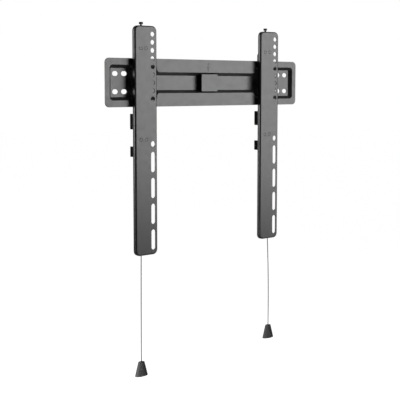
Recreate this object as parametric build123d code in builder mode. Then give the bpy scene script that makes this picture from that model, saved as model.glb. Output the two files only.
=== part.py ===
from build123d import *
import os
from math import pi, radians, tan

os.makedirs("parts", exist_ok=True)

# Slim fixed wall mount for a flat screen: a pressed wall plate and two tray-shaped arms.
# Frame: X along the plate, +Y into the wall, Z up. The wall is the plane Y = 0, and the
# origin is the middle of the plate's wall side. Depths are distances off the wall, so a
# thing at depth d lies at Y = -d.

# Wall plate
plate_length = 480.0
plate_height = 92.0
plate_corner = 9.0
plate_sheet = 2.0
press_depth = 7.0          # how far the bands stand off the wall behind the recess floor
press_angle = 40.0         # lean of the recess walls, from square
press_bend = 1.2
recess_corner = 6.5
recess_end_margin = 10.0   # flat band left at each end of the plate
recess_end_length = 105.5  # length of each tall end of the recess
recess_end_height = 66.4
channel_height = 40.0      # height of the recess between its tall ends

# Wall slots, in rows above and below the middle
slot_length = 13.0
slot_width = 9.0
slot_row_gap = 34.0
slot_from_end = 26.0
slot_pitch = 19.5
inner_pair_from_end = 72.0

# Stamped centre mark on the upper band
mark_line = 1.0
mark_line_length = 4.6
mark_ring = 5.6
mark_gap = 0.8
mark_depth = 0.6
mark_low = 22.8

# Centre block in the channel
cap_length = 40.6
cap_height = 34.5
cap_corner = 1.5
cap_front = 14.3           # depth of its front face off the wall
cap_face_sheet = 1.2
cap_face_edge = 0.3
cap_stem_length = 36.0
cap_stem_height = 25.0
cap_back = 6.2             # depth of its back edge, clear of the channel's walls

# Arms: each slides along the plate, so its place is free
arm_left_edge = {"left": -183.3, "right": 127.5}
arm_width = 50.0
arm_length = 438.0
arm_top = 107.0
arm_front = 23.0           # depth of the arm's face off the wall
arm_back = 11.0            # depth of the flanges' free edge
arm_sheet = 2.0
arm_corner = 10.0
arm_bend = 3.0

# Screen holes down one side of the arm's face
screen_line = 40.0         # from the arm's left edge
screen_hole = 9.3
screen_hole_count = 9
screen_hole_pitch = 15.3
screen_hole_from_top = 15.5
short_slot_length = 10.8
short_slot_from_top = 223.7
long_slot_length = 39.2
long_slot_count = 4
long_slot_pitch = 50.0
long_slot_from_top = 258.6

# The line that the hook, screw, latch and cord share, from the arm's left edge
works_line = 19.0
rivet_spread = 12.0
rivet_face = 8.6
rivet_face_depth = 1.0
rivet_shank = 5.0
rivet_fit = 0.1
rivet_tail = 8.0
rivet_tail_thickness = 1.4
hook_rivet_from_top = 42.8
latch_rivet_from_top = 215.0

# Hook bracket over the plate's top edge
hook_sheet = 2.0
hook_width = 24.0
hook_gap = 0.2             # between the bracket and the arm's face
hook_side_clearance = 0.4  # each side of the band in the hook's mouth
hook_rest_clearance = 0.3
hook_mouth_depth = 8.0
hook_tip = 3.0
hook_skirt = 10.0          # how far it reaches down in front of the band
hook_shoulder = 12.0       # height of the hook over its mouth
hook_shoulder_round = 1.4
hook_neck = 10.0           # slope from the shoulder to the neck
hook_neck_depth = 10.8
hook_top = 90.0
hook_top_depth = 12.0
hook_bend = 1.5
level_up = 2.4             # how far the arm can rise and sink on its screw
level_down = 3.0
slide_head = 7.6
slide_head_thickness = 1.5
slide_fit = 0.15
slide_gap = 0.3

# Levelling screw in the arm's top
screw_depth = 15.0         # its axis, off the wall
screw_thread = 4.0
screw_head = 7.0
screw_head_height = 4.0
screw_head_edge = 0.4
screw_neck = 3.8           # stands out of the arm below its head
screw_socket = 3.0
screw_socket_depth = 2.0
screw_tip = 2.8
screw_fit = 0.05
screw_flange_hole = 4.6
nut_width = 7.0
nut_height = 3.2
peen_width = 4.2
peen_height = 0.8

# Latch housing, with its feet to the wall
housing_sheet = 1.6
housing_bend = 2.0
housing_left_gap = 0.3
housing_width = 31.7
housing_top = -59.0
housing_height = 82.0
upper_foot = 29.5
lower_foot = 20.0
foot_gap_to_wall = 0.8
foot_corner = 1.5
housing_side_depth = 12.0  # depth of its sides between the feet, off the wall
lug_width = 16.0
lug_back_depth = 9.6

# Latch
latch_sheet = 2.0
latch_width = 16.0
latch_front = 15.6         # depth of its front face off the wall
latch_bottom = -118.0
latch_travel = 11.0
nose_clearance = 1.0       # behind the plate's lower band
nose_reach = 5.0           # how far it stands up behind the band
nose_drop = 6.0            # its cross strip below the plate's edge
nose_ramp = 1.4
latch_bend = 0.6
tail_width = 4.0
tail_length = 34.0
tail_fit = 0.8
eye = 2.0
eye_from_end = 2.4
stud_shank = 4.0
stud_fit = 0.2
stud_shoulder = 7.0
stud_head = 8.0
stud_head_thickness = 1.2
stud_gap = 0.3
stud_spigot = 3.6
stud_heights = (-76.0, -102.0)

# Return spring on the latch's tail
spring_wire = 0.8
spring_mean = 7.2
spring_turns = 5
spring_seat_gap = 0.3

# Pull cords: routes of the centre line in the arm's own place, from knot to knot
cord_width = 1.8
knot_width = 5.0
knot_height = 4.6
knot_edge = 1.2
knot_gap = 0.2
cord_slot_length = 20.0
cord_slot_width = 4.0
cord_slot_line = 22.8
pull_height = 27.8
pull_base_width = 28.8
pull_base_thickness = 14.0
pull_top_width = 13.2
pull_top_thickness = 8.6
pull_bore = 3.0
pull_pocket = 8.0
pull_pocket_depth = 7.0
pull_edge = 0.35
cord_gap = 0.1             # between the cord's end faces and its knots
cord_bends = {  # sideways, and height, where each cord turns
    "left": [(-3.1, -325.0)],
    "right": [(10.6, -330.0), (14.6, -455.0)],
}
cord_lean = {"left": -3.2, "right": 13.3}    # sideways, at the pull
cord_drop = {"left": 209.6, "right": 191.5}  # from the arm's bottom to the pull's top

# Places worked out from the sizes above
band_back = press_depth
band_front = press_depth + plate_sheet
press_run = press_depth * tan(radians(press_angle))
press_grow = plate_sheet * tan(radians((90 - press_angle) / 2))
plate_top = plate_height / 2
recess_end_x = plate_length / 2 - recess_end_margin - recess_end_length / 2
arm_bottom = arm_top - arm_length
arm_inside = arm_front - arm_sheet
hook_rivet_z = arm_top - hook_rivet_from_top
latch_rivet_z = arm_top - latch_rivet_from_top
hook_front = arm_inside - hook_gap
hook_web_back = hook_front - hook_sheet
lug_bottom_z = housing_top - housing_height
lug_top_z = lug_bottom_z + housing_sheet
web_back = arm_inside - housing_sheet
latch_back = latch_front - latch_sheet
latch_mid = (latch_front + latch_back) / 2
tail_end = latch_bottom - tail_length
knot_top = tail_end - knot_gap
cord_start = knot_top - knot_height


def wall_plane(depth):
    """A plane parallel to the wall, this far off it, facing the room."""
    return Plane.XZ.offset(depth)


def level_plane(height):
    """A level plane at this height."""
    return Plane.XY.offset(height)


def recess_outline(depth, grow):
    """The recess at one depth: two tall ends joined by the channel, grown all round."""
    with BuildSketch(wall_plane(depth)) as outline:
        Rectangle(2 * recess_end_x, channel_height + 2 * grow)
        with Locations((-recess_end_x, 0), (recess_end_x, 0)):
            Rectangle(recess_end_length + 2 * grow, recess_end_height + 2 * grow)
        rows = outline.vertices().group_by(Axis.Y)
        fillet(rows[0] + rows[-1], recess_corner + grow)
        rows = outline.vertices().filter_by(lambda v: abs(abs(v.Y) - channel_height / 2 - grow) < 0.01)
        inner = rows.filter_by(lambda v: abs(v.X) > recess_end_x - recess_end_length / 2 - grow - 0.01)
        fillet(inner, recess_corner - grow)
    return outline.sketch


def disc(centre_x, centre_z, near, far, width, mode=Mode.ADD):
    """A round piece square to the wall, between two depths."""
    with BuildSketch(wall_plane(near)) as outline:
        with Locations((centre_x, centre_z)):
            Circle(width / 2)
    extrude(outline.sketch, amount=far - near, mode=mode)


def cylinder_up(depth, low, high, width, mode=Mode.ADD):
    """An upright round piece on the works line, at a depth off the wall."""
    with BuildSketch(level_plane(low)) as outline:
        with Locations((works_line, -depth)):
            Circle(width / 2)
    extrude(outline.sketch, amount=high - low, mode=mode)


def rivet_pair(centre_z):
    """The two rivet places at one height, side by side about the works line."""
    return [(works_line + side * rivet_spread / 2, centre_z) for side in (-1, 1)]


# Wall plate: flat bands, with the recess pressed back until its floor meets the wall
with BuildPart() as wall_plate:
    with BuildSketch(wall_plane(band_back)):
        RectangleRounded(plate_length, plate_height, plate_corner)
    extrude(amount=plate_sheet)
    loft([recess_outline(band_back, press_grow), recess_outline(0, press_grow - press_run)], ruled=True)
    loft(
        [recess_outline(band_front, 0), recess_outline(plate_sheet, -press_run)],
        ruled=True,
        mode=Mode.SUBTRACT,
    )
    flat_faces = wall_plate.faces().filter_by(Axis.Y).sort_by(Axis.Y)
    fillet(flat_faces[0].inner_wires()[0].edges(), press_bend)
    # Slots for the wall screws: two pairs of columns at each end, in two rows
    slot_columns = []
    for first in (slot_from_end, inner_pair_from_end):
        slot_columns += [plate_length / 2 - first, plate_length / 2 - first - slot_pitch]
    slot_places = [
        (side * column, row * slot_row_gap / 2)
        for side in (-1, 1)
        for column in slot_columns
        for row in (-1, 1)
    ]
    with BuildSketch(wall_plane(0)):
        with Locations(*slot_places):
            SlotOverall(slot_length, slot_width)
    extrude(amount=plate_sheet, mode=Mode.SUBTRACT)
    # Centre mark: a line, a ring and a line, pressed in from the front
    ring_z = mark_low + mark_line_length + mark_gap + mark_ring / 2
    upper_line_z = ring_z + mark_ring / 2 + mark_gap + mark_line_length / 2
    with BuildSketch(wall_plane(band_front)):
        with Locations((0, mark_low + mark_line_length / 2), (0, upper_line_z)):
            Rectangle(mark_line, mark_line_length)
        with Locations((0, ring_z)):
            Circle(mark_ring / 2)
            Circle(mark_ring / 2 - mark_line, mode=Mode.SUBTRACT)
    extrude(amount=-mark_depth, mode=Mode.SUBTRACT)

# Centre block: a moulded block whose stem stands on the channel floor
with BuildPart() as centre_cap_base:
    with BuildSketch(wall_plane(plate_sheet)):
        RectangleRounded(cap_stem_length, cap_stem_height, cap_corner)
    extrude(amount=cap_back - plate_sheet)
    with BuildSketch(wall_plane(cap_back)):
        RectangleRounded(cap_length, cap_height, cap_corner)
    extrude(amount=cap_front - cap_face_sheet - cap_back)

# Its face plate
with BuildPart() as centre_cap_face:
    with BuildSketch(wall_plane(cap_front - cap_face_sheet)):
        RectangleRounded(cap_length, cap_height, cap_corner)
    extrude(amount=cap_face_sheet)
    chamfer(centre_cap_face.faces().sort_by(Axis.Y)[0].edges(), cap_face_edge)

# From here on each piece is made for an arm whose left edge is at X = 0

# Arm: a drawn tray, open to the wall
with BuildPart() as arm:
    with BuildSketch(wall_plane(arm_back)):
        with Locations((arm_width / 2, arm_top - arm_length / 2)):
            RectangleRounded(arm_width, arm_length, arm_corner)
    extrude(amount=arm_front - arm_back)
    fillet(arm.faces().sort_by(Axis.Y)[0].edges(), arm_bend)
    offset(amount=-arm_sheet, openings=arm.faces().sort_by(Axis.Y)[-1])
    # Screen holes: a line of round holes, a short slot, then long slots
    with BuildSketch(wall_plane(arm_inside)):
        for step in range(screen_hole_count):
            with Locations((screen_line, arm_top - screen_hole_from_top - step * screen_hole_pitch)):
                Circle(screen_hole / 2)
        with Locations((screen_line, arm_top - short_slot_from_top)):
            SlotOverall(short_slot_length, screen_hole, rotation=90)
        for step in range(long_slot_count):
            with Locations((screen_line, arm_top - long_slot_from_top - step * long_slot_pitch)):
                SlotOverall(long_slot_length, screen_hole, rotation=90)
    extrude(amount=arm_sheet, mode=Mode.SUBTRACT)
    # Rivet seats, flush in the face
    for centre_x, centre_z in rivet_pair(hook_rivet_z) + rivet_pair(latch_rivet_z):
        disc(centre_x, centre_z, arm_inside, arm_front, rivet_shank + rivet_fit, Mode.SUBTRACT)
        rivet_seat = arm_front - rivet_face_depth
        disc(centre_x, centre_z, rivet_seat, arm_front, rivet_face + 2 * rivet_fit, Mode.SUBTRACT)
    # The screw's hole in the top flange and the cord's slot in the bottom one
    cylinder_up(screw_depth, arm_top - arm_sheet, arm_top, screw_flange_hole, Mode.SUBTRACT)
    with BuildSketch(level_plane(arm_bottom)):
        with Locations((cord_slot_line, -latch_mid)):
            SlotOverall(cord_slot_length, cord_slot_width)
    extrude(amount=arm_sheet, mode=Mode.SUBTRACT)

# Hook bracket: a pressed channel whose two sides hook over the plate's top edge
mouth_z = plate_top + hook_rest_clearance
shoulder_z = mouth_z + hook_shoulder
hook_back = band_back - hook_side_clearance - hook_tip
with BuildPart() as hook_bracket:
    with BuildSketch(Plane.YZ.offset(works_line - hook_width / 2)) as hook_side:
        with BuildLine():
            Polyline(
                (-hook_front, plate_top - hook_skirt),
                (-band_front - hook_side_clearance, plate_top - hook_skirt),
                (-band_front - hook_side_clearance, mouth_z),
                (-band_back + hook_side_clearance, mouth_z),
                (-band_back + hook_side_clearance, mouth_z - hook_mouth_depth),
                (-hook_back, mouth_z - hook_mouth_depth),
                (-hook_back, shoulder_z),
                (-hook_neck_depth, shoulder_z + hook_neck),
                (-hook_top_depth, hook_top),
                (-hook_front, hook_top),
                close=True,
            )
        make_face()
        fillet(hook_side.vertices().group_by(Axis.X)[-1], hook_shoulder_round)
    extrude(amount=hook_width)
    fillet(hook_bracket.edges().filter_by(Axis.Z).group_by(Axis.Y)[0], hook_bend)
    # Open between the sides, below the top lug
    inside_height = hook_top - hook_sheet - (plate_top - hook_skirt)
    with BuildSketch(level_plane(plate_top - hook_skirt)):
        with Locations((works_line, -hook_web_back)):
            Rectangle(hook_width - 2 * hook_sheet, hook_web_back, align=(Align.CENTER, Align.MIN))
    extrude(amount=inside_height, mode=Mode.SUBTRACT)
    # Slots that slide on the studs, and the screw tip's hole in the lug
    slide_width = rivet_shank + 2 * slide_fit
    with BuildSketch(wall_plane(hook_web_back)):
        with Locations(*rivet_pair(hook_rivet_z + (level_up - level_down) / 2)):
            SlotOverall(slide_width + level_up + level_down, slide_width, rotation=90)
    extrude(amount=hook_sheet, mode=Mode.SUBTRACT)
    cylinder_up(screw_depth, hook_top - hook_sheet, hook_top, screw_tip + 2 * screw_fit, Mode.SUBTRACT)

# Slide studs: flush in the arm's face, headed behind the bracket's web
with BuildPart() as slide_studs:
    for centre_x, centre_z in rivet_pair(hook_rivet_z):
        head_front = hook_web_back - slide_gap
        disc(centre_x, centre_z, arm_front - rivet_face_depth, arm_front, rivet_face)
        disc(centre_x, centre_z, head_front, arm_front - rivet_face_depth, rivet_shank)
        disc(centre_x, centre_z, head_front - slide_head_thickness, head_front, slide_head)

# Levelling screw: turns in the bracket's lug and lifts the arm by its nut
head_low = arm_top + screw_neck
head_high = head_low + screw_head_height
with BuildPart() as level_screw:
    cylinder_up(screw_depth, head_low, head_high, screw_head)
    chamfer(level_screw.faces().sort_by(Axis.Z)[-1].edges(), screw_head_edge)
    with BuildSketch(level_plane(head_high)):
        with Locations((works_line, -screw_depth)):
            RegularPolygon(screw_socket / 2, 6, major_radius=False)
    extrude(amount=-screw_socket_depth, mode=Mode.SUBTRACT)
    cylinder_up(screw_depth, hook_top + screw_fit, head_low, screw_thread)
    peen_high = hook_top - hook_sheet - screw_fit
    cylinder_up(screw_depth, peen_high, hook_top + screw_fit, screw_tip)
    cylinder_up(screw_depth, peen_high - peen_height, peen_high, peen_width)

# Its nut, fixed under the arm's top flange
with BuildPart() as level_nut:
    with BuildSketch(level_plane(arm_top - arm_sheet)):
        with Locations((works_line, -screw_depth)):
            RegularPolygon(nut_width / 2, 6, major_radius=False)
            Circle(screw_thread / 2 + screw_fit, mode=Mode.SUBTRACT)
    extrude(amount=-nut_height)

# Latch housing: a channel against the arm's face, its sides reaching back as feet
housing_left = arm_sheet + housing_left_gap
housing_mid = housing_left + housing_width / 2
with BuildPart() as latch_housing:
    with BuildSketch(level_plane(lug_bottom_z)):
        with Locations((housing_mid, -arm_inside)):
            side_reach = arm_inside - foot_gap_to_wall
            Rectangle(housing_width, side_reach, align=(Align.CENTER, Align.MIN))
    extrude(amount=housing_height)
    fillet(latch_housing.edges().filter_by(Axis.Z).group_by(Axis.Y)[0], housing_bend)
    with BuildSketch(level_plane(lug_bottom_z + housing_height)):
        with Locations((housing_mid, -web_back)):
            Rectangle(housing_width - 2 * housing_sheet, web_back, align=(Align.CENTER, Align.MIN))
    extrude(amount=housing_sheet - housing_height, mode=Mode.SUBTRACT)
    # The spring's lug is what stays of the floor
    with BuildSketch(level_plane(lug_bottom_z)):
        with Locations((housing_mid, -web_back)):
            Rectangle(housing_width - 2 * housing_sheet, web_back, align=(Align.CENTER, Align.MIN))
        with Locations((works_line, -web_back)):
            lug_reach = web_back - lug_back_depth
            Rectangle(lug_width, lug_reach, align=(Align.CENTER, Align.MIN), mode=Mode.SUBTRACT)
        with Locations((works_line, -latch_mid)):
            Rectangle(tail_width + tail_fit, latch_sheet + tail_fit)
    extrude(amount=housing_sheet, mode=Mode.SUBTRACT)
    # The sides are low between the feet
    between_low = lug_bottom_z + lower_foot
    between_high = housing_top - upper_foot
    with BuildSketch(Plane.YZ):
        with Locations((-housing_side_depth, between_low)):
            Rectangle(housing_side_depth, between_high - between_low, align=(Align.MIN, Align.MIN))
    extrude(amount=arm_width, mode=Mode.SUBTRACT)
    fillet(latch_housing.edges().filter_by(Axis.X).group_by(Axis.Y)[-1], foot_corner)
    for centre_x, centre_z in rivet_pair(latch_rivet_z):
        disc(centre_x, centre_z, web_back, arm_inside, rivet_shank + rivet_fit, Mode.SUBTRACT)
    for stud_z in stud_heights:
        disc(works_line, stud_z, web_back, arm_inside, stud_spigot + rivet_fit, Mode.SUBTRACT)

# Rivets that hold the housing
with BuildPart() as housing_rivets:
    for centre_x, centre_z in rivet_pair(latch_rivet_z):
        disc(centre_x, centre_z, arm_front - rivet_face_depth, arm_front, rivet_face)
        disc(centre_x, centre_z, web_back, arm_front - rivet_face_depth, rivet_shank)
        disc(centre_x, centre_z, web_back - rivet_tail_thickness, web_back, rivet_tail)

# Latch: a bent strip whose nose stands behind the plate's lower band
nose_front = band_back - nose_clearance
nose_back = nose_front - latch_sheet
cross_top = -plate_top - nose_drop
cross_low = cross_top - latch_sheet
nose_top = -plate_top + nose_reach
with BuildPart() as latch:
    with BuildSketch(Plane.YZ.offset(works_line - latch_width / 2)) as latch_side:
        with BuildLine():
            Polyline(
                (-latch_front, latch_bottom),
                (-latch_front, cross_top),
                (-nose_front, cross_top),
                (-nose_front, nose_top),
                (-nose_back, nose_top - nose_ramp),
                (-nose_back, cross_low),
                (-latch_back, cross_low),
                (-latch_back, latch_bottom),
                close=True,
            )
        make_face()
        outer_bends = [
            latch_side.vertices().sort_by_distance((-latch_front, cross_top))[0],
            latch_side.vertices().sort_by_distance((-nose_back, cross_low))[0],
        ]
        fillet(outer_bends, latch_bend)
    extrude(amount=latch_width)
    with BuildSketch(wall_plane(latch_back)):
        with Locations((works_line, latch_bottom)):
            Rectangle(tail_width, tail_length, align=(Align.CENTER, Align.MAX))
        with Locations((works_line, tail_end + eye_from_end)):
            Circle(eye / 2, mode=Mode.SUBTRACT)
    extrude(amount=latch_sheet)
    guide_width = stud_shank + 2 * stud_fit
    with BuildSketch(wall_plane(latch_back)):
        for stud_z in stud_heights:
            with Locations((works_line, stud_z + latch_travel / 2)):
                SlotOverall(guide_width + latch_travel, guide_width, rotation=90)
    extrude(amount=latch_sheet, mode=Mode.SUBTRACT)

# Headed studs that guide it
with BuildPart() as latch_studs:
    for stud_z in stud_heights:
        shoulder_back = latch_front + stud_gap
        head_far = latch_back - stud_gap
        disc(works_line, stud_z, web_back, arm_inside - rivet_fit, stud_spigot)
        disc(works_line, stud_z, shoulder_back, web_back, stud_shoulder)
        disc(works_line, stud_z, head_far, shoulder_back, stud_shank)
        disc(works_line, stud_z, head_far - stud_head_thickness, head_far, stud_head)

# Return spring, between the lug and the latch's shoulder
spring_low = lug_top_z + spring_seat_gap + spring_wire / 2
spring_high = latch_bottom - spring_seat_gap - spring_wire / 2
spring_length = spring_high - spring_low
with BuildPart() as latch_spring:
    with BuildLine():
        coil = Helix(
            pitch=spring_length / spring_turns,
            height=spring_length,
            radius=spring_mean / 2,
            center=(works_line, -latch_mid, spring_low),
        )
    with BuildSketch(Plane(origin=coil @ 0, z_dir=coil % 0)):
        Circle(spring_wire / 2)
    sweep()


def make_knot(centre_x, high):
    """A round knot under a height, with soft edges."""
    with BuildPart() as knot:
        with BuildSketch(level_plane(high - knot_height)):
            with Locations((centre_x, -latch_mid)):
                Circle(knot_width / 2)
        extrude(amount=knot_height)
        fillet(knot.edges().filter_by(GeomType.CIRCLE), knot_edge)
    return knot.part


def make_pull(centre_x, high):
    """The pull: a flattened bell with a bore, and a pocket for the knot in its base."""
    base_height = high - pull_height
    with BuildPart() as pull:
        with BuildSketch(level_plane(high)):
            with Locations((centre_x, -latch_mid)):
                Ellipse(pull_top_width / 2, pull_top_thickness / 2)
        with BuildSketch(level_plane(base_height)):
            with Locations((centre_x, -latch_mid)):
                Ellipse(pull_base_width / 2, pull_base_thickness / 2)
        loft()
        ends = pull.faces().filter_by(Axis.Z)
        fillet(ends.edges(), pull_edge)
        for width, depth in ((pull_pocket, pull_pocket_depth), (pull_bore, pull_height)):
            with BuildSketch(level_plane(base_height)):
                with Locations((centre_x, -latch_mid)):
                    Circle(width / 2)
            extrude(amount=depth, mode=Mode.SUBTRACT)
    return pull.part


def make_cord(side, low):
    """The cord from the latch's knot to the pull's, straight runs with wide arcs between."""
    route = [(works_line, cord_start - cord_gap)]
    route += [(works_line + lean, height) for lean, height in cord_bends[side]]
    route += [(works_line + cord_lean[side], low + cord_gap)]
    points = [Vector(x, -latch_mid, z) for x, z in route]
    with BuildPart() as cord:
        with BuildLine() as path:
            runs = [b - a for a, b in zip(points, points[1:])]
            radii = []
            for run, following in zip(runs, runs[1:]):
                shorter = min(run.length, following.length)
                half_turn = radians(run.get_angle(following)) / 2
                radii.append(0.45 * shorter / tan(half_turn))
            print(side, "cord radii", [round(radius) for radius in radii])
            FilletPolyline(*points, radius=radii)
        centre = path.wires()[0]
        with BuildSketch(Plane(origin=centre @ 0, z_dir=centre % 0)):
            Circle(cord_width / 2)
        sweep()
    wanted = pi * cord_width**2 / 4 * centre.length
    print(side, "cord", round(centre.length, 1), "mm, volume", round(cord.part.volume / wanted, 5))
    return cord.part


# The fixed pieces
for name, piece in {
    "wall_plate": wall_plate,
    "centre_cap_base": centre_cap_base,
    "centre_cap_face": centre_cap_face,
}.items():
    piece.part.label = name
    export_step(piece.part, f"parts/{name}.step")

# The two arms: the same pieces at each arm's place, and a cord of its own length
arm_pieces = {
    "arm": arm.part,
    "hook_bracket": hook_bracket.part,
    "slide_studs": slide_studs.part,
    "level_screw": level_screw.part,
    "level_nut": level_nut.part,
    "latch_housing": latch_housing.part,
    "housing_rivets": housing_rivets.part,
    "latch": latch.part,
    "latch_studs": latch_studs.part,
    "latch_spring": latch_spring.part,
}
for side, left_edge in arm_left_edge.items():
    pull_line = works_line + cord_lean[side]
    pull_high = arm_bottom - cord_drop[side]
    lower_knot_high = pull_high - pull_height + pull_pocket_depth - knot_gap
    cord_pieces = {
        "pull_cord": make_cord(side, lower_knot_high),
        "cord_knots": Compound([make_knot(works_line, knot_top), make_knot(pull_line, lower_knot_high)]),
        "cord_pull": make_pull(pull_line, pull_high),
    }
    for name, piece in {**arm_pieces, **cord_pieces}.items():
        placed = piece.moved(Location((left_edge, 0, 0)))
        placed.label = f"{name}_{side}"
        export_step(placed, f"parts/{name}_{side}.step")
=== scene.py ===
"""Dresses a slim fixed wall bracket for a flat screen: finishes, arms, cords, screws and light."""

import logging
import math
from dataclasses import dataclass, field
from enum import Enum
from typing import Sequence

import bmesh
import bpy
from mathutils import Matrix, Vector


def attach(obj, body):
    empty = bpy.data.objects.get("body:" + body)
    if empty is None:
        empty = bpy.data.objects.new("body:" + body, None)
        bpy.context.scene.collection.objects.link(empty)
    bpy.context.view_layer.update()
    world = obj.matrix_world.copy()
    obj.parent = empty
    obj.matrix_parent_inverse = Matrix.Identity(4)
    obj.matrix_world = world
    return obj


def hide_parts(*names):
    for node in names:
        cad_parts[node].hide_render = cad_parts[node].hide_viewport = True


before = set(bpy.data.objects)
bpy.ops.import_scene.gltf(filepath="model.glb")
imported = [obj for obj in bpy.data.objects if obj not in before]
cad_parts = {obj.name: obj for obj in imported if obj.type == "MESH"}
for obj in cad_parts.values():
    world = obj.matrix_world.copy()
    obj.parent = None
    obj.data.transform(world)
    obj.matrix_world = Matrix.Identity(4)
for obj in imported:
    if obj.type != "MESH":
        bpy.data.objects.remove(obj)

logging.basicConfig(level=logging.INFO, format="%(message)s")
report = logging.getLogger("bracket")

MM = 0.001
HAIR = 0.01 * MM  # places nearer than this count as level
MERGED = 1e-7  # corners nearer than this, in metres, are one corner
UPRIGHT = Matrix.Rotation(math.pi / 2, 4, "X")  # turns what lies flat to face the room

# What the edge finder gives at a square edge, whose wear and painted highlight it sets,
# and the range in which a noise mostly stays
EDGE_FULL = 0.3
NOISE_RANGE = (0.3, 0.7)

Tone = tuple[float, float, float]
Place = tuple[float, float, float]


class Side(Enum):
    """The two arms, by the end of the plate that they hang on."""

    LEFT = "left"
    RIGHT = "right"


class Pattern(Enum):
    """How a finish's fine relief lies on the surface."""

    EVEN = "even"
    BRUSHED = "brushed"
    FIBROUS = "fibrous"


# Finishes


# The layers of each pattern's relief: the share of the grain's scale, the noise's detail, and
# the share of the grain's height
RELIEF: dict[Pattern, tuple[tuple[float, float, float], ...]] = {
    Pattern.EVEN: ((1.0, 2.0, 1.0), (0.22, 1.0, 1.6)),
    Pattern.BRUSHED: ((1.0, 5.0, 1.0),),
    Pattern.FIBROUS: ((1.0, 3.0, 1.0), (3.0, 1.0, 0.5)),
}


def set_range(node: bpy.types.Node, values: Sequence[float]) -> None:
    """Sets a Map Range node's From Min, From Max, To Min and To Max."""
    for name, value in zip(("From Min", "From Max", "To Min", "To Max"), values):
        node.inputs[name].default_value = value


class Wires:
    """The nodes of one material or world, and the links between them."""

    def __init__(self, owner: bpy.types.Material | bpy.types.World) -> None:
        """Starts with no nodes.

        Args:
            owner: The material or world.
        """
        owner.use_nodes = True
        self.tree = owner.node_tree
        self.tree.nodes.clear()

    def node(self, kind: str, operation: str = "") -> bpy.types.Node:
        """Adds a shader node.

        Args:
            kind: Its type, after ShaderNode.
            operation: What it does, if it has a choice.

        Returns:
            The node.
        """
        made = self.tree.nodes.new(f"ShaderNode{kind}")
        if operation:
            made.operation = operation
        return made

    def join(
        self, source: bpy.types.Node, out: str, target: bpy.types.Node, into: str | int
    ) -> None:
        """Links one node's output to another's input.

        Args:
            source: The node that gives the value.
            out: The name of its output.
            target: The node that takes the value.
            into: The name or number of its input.
        """
        outputs = [socket for socket in source.outputs if socket.name == out and socket.enabled]
        self.tree.links.new(outputs[0], target.inputs[into])

    def math(self, operation: str, *values: float | tuple[bpy.types.Node, str]) -> bpy.types.Node:
        """Adds a Math node.

        Args:
            operation: What it does.
            values: Its inputs, each a number, or a node and the name of its output.

        Returns:
            The node whose Value is the result.
        """
        made = self.node("Math", operation)
        for number, value in enumerate(values):
            if isinstance(value, tuple):
                self.join(*value, made, number)
            else:
                made.inputs[number].default_value = value
        return made


class Coat(Wires):
    """The nodes of a finish, with noises that lie over the object's own place."""

    def __init__(self, owner: bpy.types.Material, stretch: Place) -> None:
        """Starts with the place that the noises lie over.

        Args:
            owner: The material.
            stretch: The place's scale along each axis.
        """
        super().__init__(owner)
        self.place = self.node("Mapping")
        self.place.inputs["Scale"].default_value = stretch
        self.join(self.node("TexCoord"), "Object", self.place, "Vector")

    def noise(self, scale: float, detail: float) -> bpy.types.Node:
        """Adds a noise.

        Args:
            scale: Repeats per metre.
            detail: Octaves.

        Returns:
            The noise node.
        """
        made = self.node("TexNoise")
        made.inputs["Scale"].default_value = scale
        made.inputs["Detail"].default_value = detail
        self.join(self.place, "Vector", made, "Vector")
        return made

    def varied(self, scale: float, detail: float, middle: float, reach: float) -> bpy.types.Node:
        """Varies a value by a noise.

        Args:
            scale: The noise's repeats per metre.
            detail: Its octaves.
            middle: The value's middle.
            reach: How far the value goes either way.

        Returns:
            The node whose Result is the value.
        """
        mapped = self.node("MapRange")
        set_range(mapped, (*NOISE_RANGE, middle - reach, middle + reach))
        self.join(self.noise(scale, detail), "Fac", mapped, "Value")
        return mapped


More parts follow.
